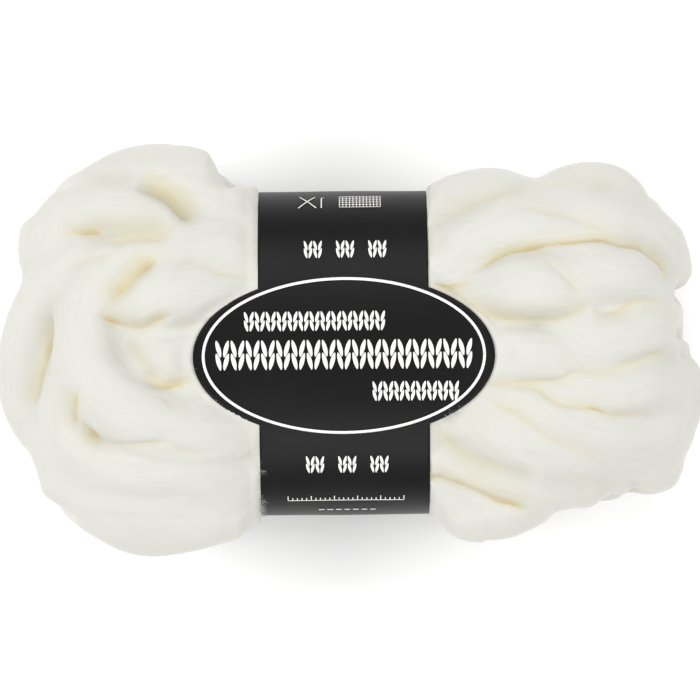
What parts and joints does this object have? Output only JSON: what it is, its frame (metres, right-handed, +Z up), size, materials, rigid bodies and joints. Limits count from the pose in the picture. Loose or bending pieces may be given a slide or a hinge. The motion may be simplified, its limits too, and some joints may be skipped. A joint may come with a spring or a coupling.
{
  "type": "ball of yarn",
  "caption": "Lengthwise wound skein of very thick off-white roving yarn, drawn in at the waist by a black paper band with an oval front.",
  "frame": {"origin": "middle of the bounding box at the surface that the skein lies on", "axes": "+X along the skein, from its left end to its right as the oval front is read; +Y across it, towards the top of the oval front; +Z up, out of the oval front"},
  "size_m": [0.3206, 0.1876, 0.1263],
  "materials": {
    "roving_yarn": "matt, fleecy, loosely twisted acrylic and wool roving, undyed off-white",
    "label_paper": "smooth black printed card with a slight sheen and white cut edges"
  },
  "bodies": {
    "root": {"yarn_skein": "roving_yarn", "label_band": "label_paper"}
  },
  "joints": []
}
